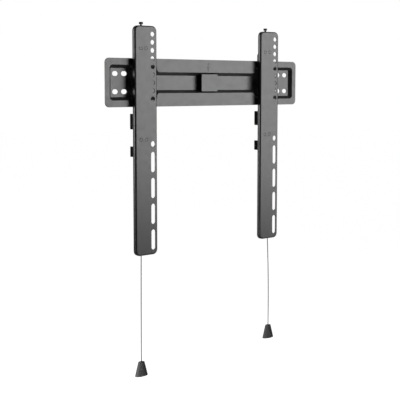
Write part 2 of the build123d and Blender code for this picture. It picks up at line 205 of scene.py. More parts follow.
@dataclass(frozen=True)
class Finish:
    """A surface finish, made as a node material that reads Object coordinates.

    Lengths are in metres, and scales are repeats per metre. Specks and patches are given as
    shares of the grain and of the mottle.
    """

    name: str
    tone: Tone
    roughness: float
    metallic: float = 0.0
    specular: float = 0.5
    mottle: float = 0.05
    mottle_scale: float = 30.0
    mottle_detail: float = 3.0
    grain_scale: float = 1800.0
    grain_height: float = 0.00003
    grain_strength: float = 0.6
    speck_scale: float = 0.5
    speck_share: float = 0.6
    speck_detail: float = 2.0
    patch_scale: float = 4.0
    patch_detail: float = 4.0
    rough_spread: float = 0.06
    edge_radius: float = 0.0003
    # Painted highlight: how much the edges' tone is raised
    edge_painted_highlight: float = 0.12
    edge_polish: float = 0.3
    edge_samples: int = 6
    pattern: Pattern = Pattern.EVEN
    stretch: Place = (1.0, 1.0, 1.0)

    def material(self) -> bpy.types.Material:
        """Builds the node material.

        Returns:
            The finished material.
        """
        made = bpy.data.materials.new(self.name)
        coat = Coat(made, self.stretch)
        shader = coat.node("BsdfPrincipled")
        shader.inputs["Metallic"].default_value = self.metallic
        shader.inputs["Specular IOR Level"].default_value = self.specular
        coat.join(shader, "BSDF", coat.node("OutputMaterial"), "Surface")
        edge = self.edge_wear_and_highlight(coat)
        coat.join(self.tone_nodes(coat, edge), "Result", shader, "Base Color")
        coat.join(self.rough_nodes(coat, edge), "Value", shader, "Roughness")
        coat.join(self.relief_nodes(coat), "Normal", shader, "Normal")
        return made

    def soft_edge(self, coat: Coat) -> bpy.types.Node:
        """Adds a node whose Normal is softened at the edges.

        Args:
            coat: The material's nodes.

        Returns:
            The Bevel node.
        """
        bevel = coat.node("Bevel")
        bevel.samples = self.edge_samples
        bevel.inputs["Radius"].default_value = self.edge_radius
        return bevel

    def edge_wear_and_highlight(self, coat: Coat) -> bpy.types.Node:
        """Finds sharp turns of the surface, rubbed and given a painted highlight, as 0 to about
        EDGE_FULL.

        Args:
            coat: The material's nodes.

        Returns:
            The node whose Value is the edge's strength.
        """
        same = coat.node("VectorMath", "DOT_PRODUCT")
        coat.join(self.soft_edge(coat), "Normal", same, 0)
        coat.join(coat.node("NewGeometry"), "Normal", same, 1)
        turned = coat.math("SUBTRACT", 1.0, (same, "Value"))
        turned.use_clamp = True
        return turned

    def tone_nodes(self, coat: Coat, edge: bpy.types.Node) -> bpy.types.Node:
        """Varies the tone softly over the surface, and lightens the rubbed edges a little as a
        painted highlight.

        Args:
            coat: The material's nodes.
            edge: The node that finds the edges.

        Returns:
            The node whose Result is the colour.
        """
        shade = coat.varied(self.mottle_scale, self.mottle_detail, 1.0, self.mottle)
        scale = self.grain_scale * self.speck_scale
        specks = coat.varied(scale, self.speck_detail, 1.0, self.mottle * self.speck_share)
        both = coat.math("MULTIPLY", (shade, "Result"), (specks, "Result"))
        # Painted highlight: the tone is raised a little at the edges
        lit = coat.math("MULTIPLY", (edge, "Value"), self.edge_painted_highlight / EDGE_FULL)
        total = coat.math("ADD", (both, "Value"), (lit, "Value"))
        colour = coat.node("Mix")
        colour.data_type = "RGBA"
        colour.blend_type = "MULTIPLY"
        colour.inputs["Factor"].default_value = 1.0
        inputs = [socket for socket in colour.inputs if socket.enabled and socket.type == "RGBA"]
        inputs[0].default_value = (*self.tone, 1.0)
        coat.tree.links.new(total.outputs[0], inputs[1])
        return colour

    def rough_nodes(self, coat: Coat, edge: bpy.types.Node) -> bpy.types.Node:
        """Varies the roughness over the surface, between 0 and 1.

        Args:
            coat: The material's nodes.
            edge: The node that finds the edges, which are a little smoother.

        Returns:
            The node whose Value is the roughness.
        """
        scale = self.mottle_scale * self.patch_scale
        rough = coat.varied(scale, self.patch_detail, self.roughness, self.rough_spread / 2)
        smooth = coat.math("MULTIPLY", (edge, "Value"), self.edge_polish)
        total = coat.math("SUBTRACT", (rough, "Result"), (smooth, "Value"))
        total.use_clamp = True
        return total

    def relief_nodes(self, coat: Coat) -> bpy.types.Node:
        """The finish's fine relief over edges that are softened by a hair.

        Args:
            coat: The material's nodes.

        Returns:
            The node whose Normal is the surface's.
        """
        last = self.soft_edge(coat)
        for scale, detail, share in RELIEF[self.pattern]:
            bump = coat.node("Bump")
            bump.inputs["Strength"].default_value = self.grain_strength
            bump.inputs["Distance"].default_value = self.grain_height * share
            coat.join(coat.noise(self.grain_scale * scale, detail), "Fac", bump, "Height")
            coat.join(last, "Normal", bump, "Normal")
            last = bump
        return last


POWDER_COAT = Finish(
    name="grey_powder_coat",
    tone=(0.038, 0.038, 0.039),
    roughness=0.36,
    specular=0.9,
    mottle=0.025,
    mottle_scale=22.0,
    grain_scale=1500.0,
    grain_height=0.000035,
)
BLACK_STEEL = Finish(
    name="black_steel",
    tone=(0.008, 0.008, 0.009),
    roughness=0.8,
    specular=0.1,
    mottle=0.12,
    mottle_scale=60.0,
    grain_scale=2200.0,
    grain_height=0.00002,
    edge_painted_highlight=0.4,
)
DARK_ZINC = Finish(
    name="dark_zinc",
    tone=(0.06, 0.06, 0.064),
    roughness=0.42,
    metallic=0.7,
    mottle=0.12,
    mottle_scale=150.0,
    grain_scale=900.0,
    grain_height=0.00001,
    edge_painted_highlight=0.3,
    pattern=Pattern.BRUSHED,
    stretch=(1.0, 1.0, 6.0),
)
SPRING_WIRE = Finish(
    name="spring_steel",
    tone=(0.35, 0.35, 0.36),
    roughness=0.28,
    metallic=1.0,
    mottle=0.08,
    mottle_scale=200.0,
    grain_scale=3000.0,
    grain_height=0.000006,
    edge_radius=0.0001,
    pattern=Pattern.BRUSHED,
    stretch=(1.0, 1.0, 4.0),
)
BLACK_PLASTIC = Finish(
    name="black_plastic",
    tone=(0.012, 0.012, 0.013),
    roughness=0.55,
    specular=0.3,
    mottle=0.08,
    mottle_scale=80.0,
    grain_scale=1200.0,
    grain_height=0.00003,
)
PULL_PLASTIC = Finish(
    name="pull_plastic",
    tone=(0.04, 0.04, 0.041),
    roughness=0.55,
    specular=0.15,
    mottle=0.04,
    mottle_scale=90.0,
    grain_scale=1000.0,
    grain_height=0.00003,
    edge_radius=0.0005,
)
BRAIDED_CORD = Finish(
    name="cord",
    tone=(0.01, 0.01, 0.011),
    roughness=0.9,
    specular=0.1,
    mottle=0.2,
    mottle_scale=500.0,
    grain_scale=5000.0,
    grain_height=0.00002,
    edge_radius=0.00005,
    pattern=Pattern.FIBROUS,
    stretch=(1.0, 1.0, 0.35),
)

# Which finish each piece wears that the frame's own solid shows, by its name without the side
KEPT_FINISHES: dict[str, Finish] = {
    "wall_plate": POWDER_COAT,
    "centre_cap_base": BLACK_PLASTIC,
    "centre_cap_face": POWDER_COAT,
    "hook_bracket": BLACK_STEEL,
    "level_nut": DARK_ZINC,
    "latch_housing": BLACK_STEEL,
    "latch": BLACK_STEEL,
    "latch_studs": DARK_ZINC,
    "latch_spring": SPRING_WIRE,
    "cord_pull": PULL_PLASTIC,
}


@dataclass
class Paintbox:
    """Makes each finish's material once, and puts it on pieces."""

    made: dict[str, bpy.types.Material] = field(default_factory=dict)

    def paint(self, piece: bpy.types.Object, finish: Finish) -> None:
        """Puts a finish in every material slot of a piece.

        Args:
            piece: The piece.
            finish: Its finish.
        """
        if finish.name not in self.made:
            self.made[finish.name] = finish.material()
        material = self.made[finish.name]
        if not piece.material_slots:
            piece.data.materials.append(material)
        for slot in piece.material_slots:
            slot.material = material


# Shaping helpers


def mesh_piece(name: str, work: bmesh.types.BMesh) -> bpy.types.Object:
    """Turns a bmesh into a piece at the origin.

    Args:
        name: The piece's name.
        work: The bmesh, which is freed.

    Returns:
        The piece.
    """
    mesh = bpy.data.meshes.new(name)
    work.to_mesh(mesh)
    work.free()
    piece = bpy.data.objects.new(name, mesh)
    bpy.context.scene.collection.objects.link(piece)
    return piece


def joined(name: str, parts: Sequence[bpy.types.Mesh]) -> bpy.types.Object:
    """Joins meshes into one piece with outward faces.

    Args:
        name: The piece's name.
        parts: The meshes, which are removed.

    Returns:
        The piece.
    """
    work = bmesh.new()
    for part in parts:
        work.from_mesh(part)
        bpy.data.meshes.remove(part)
    bmesh.ops.remove_doubles(work, verts=work.verts, dist=MERGED)
    bmesh.ops.recalc_face_normals(work, faces=work.faces)
    for face in work.faces:
        face.smooth = True
    return mesh_piece(name, work)


def spin_round(
    work: bmesh.types.BMesh, outline: Sequence[Place], middle: Place, axis: Place, steps: int
) -> None:
    """Spins an outline right round an axis that it starts and ends on.

    Args:
        work: The bmesh that takes the shape.
        outline: The outline's corners, in order.
        middle: A point on the axis.
        axis: The axis's direction.
        steps: Steps in the whole turn.
    """
    line = [work.verts.new(place) for place in outline]
    edges = [work.edges.new(pair) for pair in zip(line, line[1:])]
    bmesh.ops.spin(
        work,
        geom=line + edges,
        cent=middle,
        axis=axis,
        angle=2 * math.pi,
        steps=steps,
        use_merge=True,
    )
    bmesh.ops.remove_doubles(work, verts=work.verts, dist=MERGED)


def add_spline(
    curve: bpy.types.Curve, kind: str, points: Sequence[Sequence[float]]
) -> bpy.types.Spline:
    """Adds a spline to a curve.

    Args:
        curve: The curve.
        kind: The spline's type.
        points: Its control points.

    Returns:
        The spline.
    """
    spline = curve.splines.new(kind)
    spline.points.add(len(points) - 1)
    for control, point in zip(spline.points, points):
        control.co = (*point, 1.0)
    return spline


def curve_mesh(curve: bpy.types.Curve) -> bpy.types.Mesh:
    """Turns a curve into a mesh.

    Args:
        curve: The curve, which is removed.

    Returns:
        The mesh.
    """
    holder = bpy.data.objects.new(curve.name, curve)
    bpy.context.scene.collection.objects.link(holder)
    bpy.context.view_layer.update()
    depsgraph = bpy.context.evaluated_depsgraph_get()
    mesh = bpy.data.meshes.new_from_object(holder.evaluated_get(depsgraph))
    bpy.data.objects.remove(holder)
    bpy.data.curves.remove(curve)
    return mesh


def smooth_line(points: Sequence[Place | Vector], steps: int) -> list[Vector]:
    """Reads points from a NURBS spline through an open route.

    Args:
        points: The route's control points, in metres.
        steps: Steps that each of the spline's segments is divided into.

    Returns:
        The points on the spline, from its start to its end.
    """
    curve = bpy.data.curves.new("route", "CURVE")
    curve.dimensions = "3D"
    spline = add_spline(curve, "NURBS", points)
    spline.order_u = 3
    spline.use_endpoint_u = True
    spline.resolution_u = steps
    mesh = curve_mesh(curve)
    line = [vertex.co.copy() for vertex in mesh.vertices]
    bpy.data.meshes.remove(mesh)
    return line


@dataclass
class Braid:
    """A round braided cord: strands that wind both ways over a core, over and under each other.

    The core's sink is how far it lies below the cord's outside, as a share of a strand's radius.
    """

    width: float = 1.8 * MM
    ways: int = 4
    turn: float = 5.5 * MM
    strand: float = 0.29 * MM
    strand_roundness: int = 1
    wave: float = 0.05 * MM
    core_sink: float = 0.9
    core_roundness: int = 3
    stations: int = 16
    steep: float = 0.95

    def meshes(self, line: Sequence[Vector]) -> list[bpy.types.Mesh]:
        """Lays the braid along a line.

        Args:
            line: Points along the cord's middle.

        Returns:
            The core's mesh and the strands' mesh.
        """
        stations = self.divided(line)
        core_radius = self.width / 2 - self.core_sink * self.strand
        core_line = [place for place, _, _, _ in stations]
        core = self.tube([core_line], core_radius, self.core_roundness)
        middle = self.width / 2 - self.strand - self.wave
        strands: list[list[Vector]] = []
        for hand in (-1, 1):
            for number in range(self.ways):
                strand = []
                for place, across, over, run in stations:
                    wound = 2 * math.pi * run / self.turn
                    angle = hand * wound + 2 * math.pi * number / self.ways
                    reach = middle + hand * self.wave * math.cos(self.ways * wound)
                    outward = math.cos(angle) * across + math.sin(angle) * over
                    strand.append(place + reach * outward)
                strands.append(strand)
        return [core, self.tube(strands, self.strand, self.strand_roundness)]

    def divided(self, line: Sequence[Vector]) -> list[tuple[Vector, Vector, Vector, float]]:
        """Divides a line into even stations with two square directions carried along it.

        Args:
            line: Points along the cord's middle.

        Returns:
            For each station its place, its two directions and its distance from the start.
        """
        gap = self.turn / self.stations
        steps = [b - a for a, b in zip(line, line[1:])]
        total = sum(step.length for step in steps)
        count = max(2, round(total / gap))
        wanted = [total * number / count for number in range(count + 1)]
        places: list[Vector] = []
        run = 0.0
        index = 0
        for distance in wanted:
            while index < len(steps) - 1 and run + steps[index].length < distance:
                run += steps[index].length
                index += 1
            share = min(1.0, (distance - run) / steps[index].length)
            places.append(line[index] + steps[index] * share)
        stations = []
        across = Vector((1.0, 0.0, 0.0))
        for number, place in enumerate(places):
            ahead = places[min(number + 1, count)] - places[max(number - 1, 0)]
            ahead.normalize()
            if abs(across.dot(ahead)) > self.steep:
                across = Vector((0.0, 1.0, 0.0))
            across = (across - across.dot(ahead) * ahead).normalized()
            stations.append((place, across, ahead.cross(across), wanted[number]))
        return stations

    @staticmethod
    def tube(lines: Sequence[Sequence[Vector]], radius: float, roundness: int) -> bpy.types.Mesh:
        """Round tubes along lines, with closed ends.

        Args:
            lines: The tubes' middles.
            radius: The tubes' radius.
            roundness: The curve's bevel resolution.

        Returns:
            The tubes' mesh.
        """
        curve = bpy.data.curves.new("strands", "CURVE")
        curve.dimensions = "3D"
        curve.bevel_depth = radius
        curve.bevel_resolution = roundness
        curve.use_fill_caps = True
        for line in lines:
            add_spline(curve, "POLY", line)
        return curve_mesh(curve)


# Sub-assemblies


@dataclass
class PullCord:
    """A latch's pull cord with its knots: one tied to the latch's eye, one inside the pull.

    A knot's neck, and how far the eye's loop stands off, are shares of the cord's width.
    """

    side: Side
    route: list[Place]
    length: float
    eye: Place
    braid: Braid = field(default_factory=Braid)
    sheet: float = 2.0 * MM
    line_steps: int = 48
    knot_reach: float = 0.6 * MM
    knot_rise: float = 1.1 * MM
    knot_neck: float = 0.4
    knot_points: int = 14
    knot_steps: int = 8
    tail: float = 1.6 * MM
    loop_stand: float = 0.75
    loop_rise: float = 0.4 * MM

    def build(self, paints: Paintbox) -> None:
        """Makes the cord and its knots, and puts them on the latch's body.

        Args:
            paints: The finishes' materials.
        """
        name = self.side.value
        line = smooth_line(self.route, self.line_steps)
        cord = joined(f"braided_cord_{name}", self.braid.meshes(line))
        knots = self.knots(line)
        for piece in (cord, knots):
            paints.paint(piece, BRAIDED_CORD)
            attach(piece, f"{name}_latch")
        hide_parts(f"pull_cord_{name}")
        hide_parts(f"cord_knots_{name}")
        report.info("%s cord and knots made, %.1f mm", name, 1000 * self.length)

    def knots(self, line: Sequence[Vector]) -> bpy.types.Object:
        """The two knots, and the loop that ties the upper one to the latch's eye.

        Args:
            line: Points along the cord's middle.

        Returns:
            The piece that holds both knots.
        """
        height = 2 * self.knot_rise + self.braid.width
        upper = line[0] + Vector((0.0, 0.0, height / 2))
        lower = line[-1] - Vector((0.0, 0.0, height / 2))
        lines = (self.overhand(upper, 0.0), self.overhand(lower, self.tail), self.eye_loop(upper))
        parts = [mesh for line in lines for mesh in self.braid.meshes(line)]
        return joined(f"tied_knots_{self.side.value}", parts)

    def overhand(self, middle: Vector, tail: float) -> list[Vector]:
        """The middle line of an overhand knot, drawn tight.

        Args:
            middle: The knot's middle.
            tail: Length of cord that hangs out below it.

        Returns:
            Points along the knot's cord.
        """
        end = self.knot_rise + self.braid.width * self.knot_neck
        points = [(0.0, 0.0, end)]
        for step in range(1, self.knot_points):
            angle = 2 * math.pi * step / self.knot_points
            points.append(
                (
                    self.knot_reach * (math.sin(angle) + 2 * math.sin(2 * angle)),
                    self.knot_reach * (math.cos(angle) - 2 * math.cos(2 * angle)),
                    -self.knot_rise * math.sin(3 * angle),
                )
            )
        points.append((0.0, 0.0, -end - tail))
        return smooth_line([middle + Vector(point) for point in points], self.knot_steps)

    def eye_loop(self, knot: Vector) -> list[Vector]:
        """The loop from the upper knot through the latch's eye and back.

        Args:
            knot: The upper knot's middle.

        Returns:
            Points along the loop.
        """
        eye = Vector(self.eye)
        stand = self.sheet / 2 + self.braid.width * self.loop_stand
        foot = knot + Vector((0.0, 0.0, self.knot_rise))
        low = (foot.z + eye.z) / 2
        high = eye.z + self.loop_rise
        points = [foot]
        points += [Vector((eye.x, eye.y - stand, height)) for height in (low, high)]
        points += [eye]
        points += [Vector((eye.x, eye.y + stand, height)) for height in (high, low)]
        points += [foot]
        return smooth_line(points, self.knot_steps)


@dataclass(frozen=True)
class Opening:
    """A round hole in sheet metal, or a slot where it is longer than wide."""

    middle: Place
    width: float
    length: float
    along: Place = (0.0, 0.0, 1.0)
    upright: bool = True
    segments: int = 40

    def outline(self, work: bmesh.types.BMesh) -> list[bmesh.types.BMEdge]:
        """Adds the opening's outline.

        Args:
            work: The bmesh that takes it.

        Returns:
            The outline's edges.
        """
        turn = UPRIGHT if self.upright else Matrix.Identity(4)
        made = bmesh.ops.create_circle(
            work,
            cap_ends=False,
            segments=self.segments,
            radius=self.width / 2,
            matrix=Matrix.Translation(self.middle) @ turn,
        )
        along = Vector(self.along)
        rise = (self.length - self.width) / 2
        edges: list[bmesh.types.BMEdge] = []
        for corner in made["verts"]:
            offset = (corner.co - Vector(self.middle)).dot(along)
            if abs(offset) > HAIR:
                corner.co += along * math.copysign(rise, offset)
            edges += [edge for edge in corner.link_edges if edge not in edges]
        return edges


@dataclass
class TrayArm:
    """An arm: a drawn tray with low sides and deeper ends, and its line of screen holes.

    Its shape is made with the arm's left edge at X = 0, and then moved to its place. Depths are
    distances off the wall, and a thing's place on the face is given across from the left edge
    and down from the top.
    """

    side: Side
    left: float
    width: float = 50.0 * MM
    top: float = 107.0 * MM
    bottom: float = -331.0 * MM
    front: float = 23.0 * MM
    back: float = 11.0 * MM
    sheet: float = 2.0 * MM
    corner: float = 10.0 * MM
    bend: float = 3.0 * MM
    round_segments: int = 8
    left_side: float = 14.2 * MM
    right_side: float = 17.5 * MM
    support: float = 0.5 * MM
    hole_line: float = 40.0 * MM
    hole: float = 9.3 * MM
    first_hole: float = 15.5 * MM
    hole_pitch: float = 15.3 * MM
    hole_count: int = 9
    short_slot: tuple[float, float] = (223.7 * MM, 10.8 * MM)
    first_long_slot: float = 258.6 * MM
    long_slot: float = 39.2 * MM
    long_slot_pitch: float = 50.0 * MM
    long_slot_count: int = 4
    rivets_across: tuple[float, ...] = (13.0 * MM, 25.0 * MM)
    rivets_down: tuple[float, ...] = (42.8 * MM, 215.0 * MM)
    rivet_seat: float = 6.9 * MM
    screw_hole: float = 4.6 * MM
    screw_at: tuple[float, float] = (19.0 * MM, 15.0 * MM)
    cord_slot: tuple[float, float] = (4.0 * MM, 20.0 * MM)
    cord_slot_at: tuple[float, float] = (22.8 * MM, 14.6 * MM)

    def build(self, paints: Paintbox) -> None:
        """Makes the arm and puts it on its body.

        Args:
            paints: The finishes' materials.
        """
        name = self.side.value
        work = self.skin()
        self.lower_sides(work)
        self.open_face(work)
        self.open_ends(work)
        bmesh.ops.recalc_face_normals(work, faces=work.faces)
        if self.face(work).normal.y > 0:
            bmesh.ops.reverse_faces(work, faces=work.faces)
        bmesh.ops.translate(work, verts=work.verts, vec=(self.left, 0.0, 0.0))
        arm = mesh_piece(f"tray_arm_{name}", work)
        wall = arm.modifiers.new("sheet", "SOLIDIFY")
        wall.thickness = self.sheet
        wall.offset = -1.0
        wall.use_even_offset = True
        paints.paint(arm, POWDER_COAT)
        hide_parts(f"arm_{name}")
        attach(arm, f"{name}_arm")
        report.info("%s arm made", name)

    def skin(self) -> bmesh.types.BMesh:
        """The tray's outer skin: a plate with round corners, its rim drawn back over a bend.

        Returns:
            The skin as a bmesh.
        """
        work = bmesh.new()
        middle = Vector((self.width / 2, -self.front, (self.top + self.bottom) / 2))
        size = Matrix.Diagonal((self.width, self.top - self.bottom, 1.0, 1.0))
        place = Matrix.Translation(middle) @ UPRIGHT @ size
        bmesh.ops.create_grid(work, x_segments=1, y_segments=1, size=0.5, matrix=place)
        rounding = {"segments": self.round_segments, "profile": 0.5, "material": -1}
        verts = list(work.verts)
        bmesh.ops.bevel(work, geom=verts, offset=self.corner, affect="VERTICES", **rounding)
        rim = [edge for edge in work.edges if edge.is_boundary]
        drawn = bmesh.ops.extrude_edge_only(work, edges=rim)
        moved = [item for item in drawn["geom"] if isinstance(item, bmesh.types.BMVert)]
        bmesh.ops.translate(work, verts=moved, vec=(0.0, self.front - self.back, 0.0))
        bmesh.ops.bevel(work, geom=rim, offset=self.bend, affect="EDGES", **rounding)
        bmesh.ops.inset_region(work, faces=[self.face(work)], thickness=self.support)
        bmesh.ops.bisect_plane(
            work,
            geom=[*work.verts, *work.edges, *work.faces],
            plane_co=(0.0, self.bend + self.support - self.front, 0.0),
            plane_no=(0.0, 1.0, 0.0),
        )
        for part in work.faces:
            part.smooth = True
        return work

    @staticmethod
    def face(work: bmesh.types.BMesh) -> bmesh.types.BMFace:
        """The tray's flat face, its largest."""
        return max(work.faces, key=lambda part: part.calc_area())

    def lower_sides(self, work: bmesh.types.BMesh) -> None:
        """Moves the sides' free edges forward, and leaves the flat ends deep.

        Args:
            work: The tray's bmesh.
        """
        for corner in work.verts:
            across, depth, height = corner.co
            at_end = min(abs(height - self.top), abs(height - self.bottom)) < HAIR
            flat = self.corner - HAIR < across < self.width - self.corner + HAIR
            if depth > -self.back - HAIR and not (at_end and flat):
                corner.co.y = -self.left_side if across < self.width / 2 else -self.right_side

    def open_face(self, work: bmesh.types.BMesh) -> None:
        """Opens the face's screen holes, slots and rivet seats.

        Args:
            work: The tray's bmesh.
        """
        marks = [
            (self.hole_line, self.first_hole + step * self.hole_pitch, self.hole, self.hole)
            for step in range(self.hole_count)
        ]
        marks.append((self.hole_line, self.short_slot[0], self.hole, self.short_slot[1]))
        for step in range(self.long_slot_count):
            down = self.first_long_slot + step * self.long_slot_pitch
            marks.append((self.hole_line, down, self.hole, self.long_slot))
        for down in self.rivets_down:
            for across in self.rivets_across:
                marks.append((across, down, self.rivet_seat, self.rivet_seat))
        openings = [
            Opening((across, -self.front, self.top - down), width, length)
            for across, down, width, length in marks
        ]
        self.open(work, self.face(work), openings)

    def open_ends(self, work: bmesh.types.BMesh) -> None:
        """Opens the screw's hole in the top end and the cord's slot in the bottom end.

        Args:
            work: The tray's bmesh.
        """
        ends = (
            (self.top, self.screw_at, (self.screw_hole, self.screw_hole)),
            (self.bottom, self.cord_slot_at, self.cord_slot),
        )
        for height, (across, depth), (width, length) in ends:
            level = [
                part
                for part in work.faces
                if all(abs(corner.co.z - height) < HAIR for corner in part.verts)
            ]
            end = max(level, key=lambda part: part.calc_area())
            middle = (across, -depth, height)
            opening = Opening(middle, width, length, along=(1.0, 0.0, 0.0), upright=False)
            self.open(work, end, [opening])

    @staticmethod
    def open(
        work: bmesh.types.BMesh, flat: bmesh.types.BMFace, openings: Sequence[Opening]
    ) -> None:
        """Fills a flat face again with openings in it.

        Args:
            work: The tray's bmesh.
            flat: The flat face, which is replaced.
            openings: The openings.
        """
        edges = list(flat.edges)
        bmesh.ops.delete(work, geom=[flat], context="FACES_ONLY")
        for opening in openings:
            edges += opening.outline(work)
        bmesh.ops.triangle_fill(work, use_beauty=True, use_dissolve=False, edges=edges)


@dataclass
class LevelScrew:
    """A levelling screw: a knurled head with a six-sided socket, a thread and a peened tip.

    The knurl's band is given from the head's underside and from its top edge. The thread's
    flanks are shares of its pitch.
    """

    arm: TrayArm
    head_low: float = 109.6 * MM
    head_high: float = 113.8 * MM
    head: float = 7.8 * MM
    head_edge: float = 0.4 * MM
    fine_edge: float = 0.2 * MM
    knurl_depth: float = 0.1 * MM
    knurl_low: float = 0.6 * MM
    knurl_high: float = 0.2 * MM
    socket: float = 3.0 * MM
    socket_depth: float = 2.0 * MM
    socket_mouth: float = 0.25 * MM
    socket_cone: float = 0.4 * MM
    socket_round: float = 1.08
    thread: float = 4.0 * MM
    thread_depth: float = 0.4 * MM
    thread_seat: float = 0.05 * MM
    thread_start: float = 0.3 * MM
    thread_steps: int = 20
    flanks: tuple[float, float, float] = (0.42, 0.55, 0.97)
    pitch: float = 0.7 * MM
    shank_low: float = 90.05 * MM
    tip: float = 2.8 * MM
    tip_low: float = 87.95 * MM
    peen: float = 4.2 * MM
    peen_edge: tuple[float, float] = (0.5 * MM, 0.35 * MM)
    peen_low: float = 87.15 * MM
    segments: int = 60

    def build(self, paints: Paintbox) -> None:
        """Makes the screw and puts it on its body.

        Args:
            paints: The finishes' materials.
        """
        name = self.arm.side.value
        across, depth = self.arm.screw_at
        work = self.turned()
        self.cut_thread(work)
        bmesh.ops.translate(work, verts=work.verts, vec=(self.arm.left + across, -depth, 0.0))
        screw = mesh_piece(f"threaded_screw_{name}", work)
        paints.paint(screw, DARK_ZINC)
        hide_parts(f"level_screw_{name}")
        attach(screw, f"{name}_screw")
        report.info("%s levelling screw made", name)

    def turned(self) -> bmesh.types.BMesh:
        """The screw without its thread, spun from its outline.

        Returns:
            The screw as a bmesh about the Z axis.
        """
        root = self.thread / 2 - self.thread_depth
        rim = self.head / 2
        valley = rim - self.knurl_depth
        low = self.head_low + self.knurl_low
        high = self.head_high - self.head_edge - self.knurl_high
        inner = self.socket / 2 * self.socket_round
        floor = self.head_high - self.socket_depth
        outline = [
            (0.0, self.peen_low),
            (self.peen / 2 - self.peen_edge[0], self.peen_low),
            (self.peen / 2, self.peen_low + self.peen_edge[1]),
            (self.peen / 2, self.tip_low),
            (self.tip / 2, self.tip_low),
            (self.tip / 2, self.shank_low),
            (root, self.shank_low),
            (root, self.head_low),
            (rim - self.fine_edge, self.head_low),
            (rim, self.head_low + self.fine_edge),
            (rim, low),
            (valley, low + self.knurl_depth),
            (valley, high - self.knurl_depth),
            (rim, high),
            (rim, self.head_high - self.head_edge),
            (rim - self.head_edge, self.head_high),
            (inner + self.socket_mouth, self.head_high),
            (inner, self.head_high - self.fine_edge),
            (inner, floor),
            (0.0, floor - self.socket_cone),
        ]
        work = bmesh.new()
        places = [(radius, 0.0, height) for radius, height in outline]
        spin_round(work, places, (0.0, 0.0, 0.0), (0.0, 0.0, 1.0), self.segments)
        self.shape_socket(work, inner)
        self.knurl(work, valley)
        bmesh.ops.recalc_face_normals(work, faces=work.faces)
        return work

    def shape_socket(self, work: bmesh.types.BMesh, inner: float) -> None:
        """Moves the socket's round wall out to its six sides.

        Args:
            work: The screw's bmesh.
            inner: The round wall's radius.
        """
        floor = self.head_high - self.socket_depth
        for corner in work.verts:
            radius = math.hypot(corner.co.x, corner.co.y)
            if corner.co.z > floor - HAIR and abs(radius - inner) < HAIR:
                angle = math.atan2(corner.co.y, corner.co.x) % (math.pi / 3) - math.pi / 6
                wanted = self.socket / 2 / math.cos(angle)
                corner.co.xy *= wanted / radius

    def knurl(self, work: bmesh.types.BMesh, radius: float) -> None:
        """Raises every other upright line of the head's middle band.

        Args:
            work: The screw's bmesh.
            radius: The band's radius.
        """
        step = 2 * math.pi / self.segments
        for corner in work.verts:
            reach = math.hypot(corner.co.x, corner.co.y)
            line = round(math.atan2(corner.co.y, corner.co.x) / step)
            if abs(reach - radius) < HAIR and line % 2:
                corner.co.xy *= (radius + self.knurl_depth) / radius

    def cut_thread(self, work: bmesh.types.BMesh) -> None:
        """Adds the thread's ridge, spun up the shank.

        Args:
            work: The screw's bmesh.
        """
        root = self.thread / 2 - self.thread_depth - self.thread_seat
        crest = self.thread / 2
        start = self.shank_low + self.thread_start
        turns = int((self.head_low - start) / self.pitch) - 1
        rise, fall, end = (start + share * self.pitch for share in self.flanks)
        outline = [(root, start), (crest, rise), (crest, fall), (root, end)]
        ridge = [work.verts.new((radius, 0.0, height)) for radius, height in outline]
        edges = [work.edges.new(pair) for pair in zip(ridge, ridge[1:] + ridge[:1])]
        bmesh.ops.spin(
            work,
            geom=ridge + edges,
            cent=(0.0, 0.0, 0.0),
            axis=(0.0, 0.0, 1.0),
            dvec=(0.0, 0.0, self.pitch / self.thread_steps),
            angle=2 * math.pi * turns,
            steps=turns * self.thread_steps,
            use_merge=False,
        )
        ends = [edge for edge in work.edges if edge.is_boundary]
        bmesh.ops.holes_fill(work, edges=ends, sides=len(outline))
        bmesh.ops.recalc_face_normals(work, faces=work.faces)


@dataclass
class RivetPair:
    """Two rivets side by side, flush in an arm's face and headed behind what they hold.

    They stand this far down from the arm's top, and their tails lie between two depths off
    the wall.
    """

    name: str
    solid: str
    arm: TrayArm
    down: float
    tail: float
    tail_front: float
    tail_back: float
    face: float = 6.2 * MM
    face_depth: float = 1.0 * MM
    shank: float = 5.0 * MM
    edge: float = 0.25 * MM
    segments: int = 32

    def build(self, paints: Paintbox) -> None:
        """Makes both rivets and puts them on the arm's body.

        Args:
            paints: The finishes' materials.
        """
        side = self.arm.side.value
        work = bmesh.new()
        for across in self.arm.rivets_across:
            self.turn(work, self.arm.left + across)
        bmesh.ops.recalc_face_normals(work, faces=work.faces)
        rivets = mesh_piece(f"{self.name}_{side}", work)
        paints.paint(rivets, POWDER_COAT)
        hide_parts(f"{self.solid}_{side}")
        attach(rivets, f"{side}_arm")
        report.info("%s %s made", side, self.name)

    def turn(self, work: bmesh.types.BMesh, middle: float) -> None:
        """Spins one rivet from its outline, about an axis square to the face.

        Args:
            work: The bmesh that takes the rivet.
            middle: Where its axis stands along the plate.
        """
        front = self.arm.front
        height = self.arm.top - self.down
        outline = [
            (0.0, front),
            (self.face / 2 - self.edge, front),
            (self.face / 2, front - self.edge),
            (self.face / 2, front - self.face_depth),
            (self.shank / 2, front - self.face_depth),
            (self.shank / 2, self.tail_front),
            (self.tail / 2, self.tail_front),
            (self.tail / 2, self.tail_back + self.edge),
            (self.tail / 2 - self.edge, self.tail_back),
            (0.0, self.tail_back),
        ]
        places = [(middle + radius, -depth, height) for radius, depth in outline]
        spin_round(work, places, (middle, 0.0, height), (0.0, 1.0, 0.0), self.segments)


@dataclass
class KeptPieces:
    """The pieces that the frame's own solids show."""

    finishes: dict[str, Finish]

    def dress(self, paints: Paintbox) -> None:
        """Gives each kept node its finish.

        Args:
            paints: The finishes' materials.
        """
        for name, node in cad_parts.items():
            kind = name.removesuffix("_left").removesuffix("_right")
            if kind in self.finishes:
                paints.paint(node, self.finishes[kind])
                report.info("%s dressed in %s", name, self.finishes[kind].name)


# Light and camera


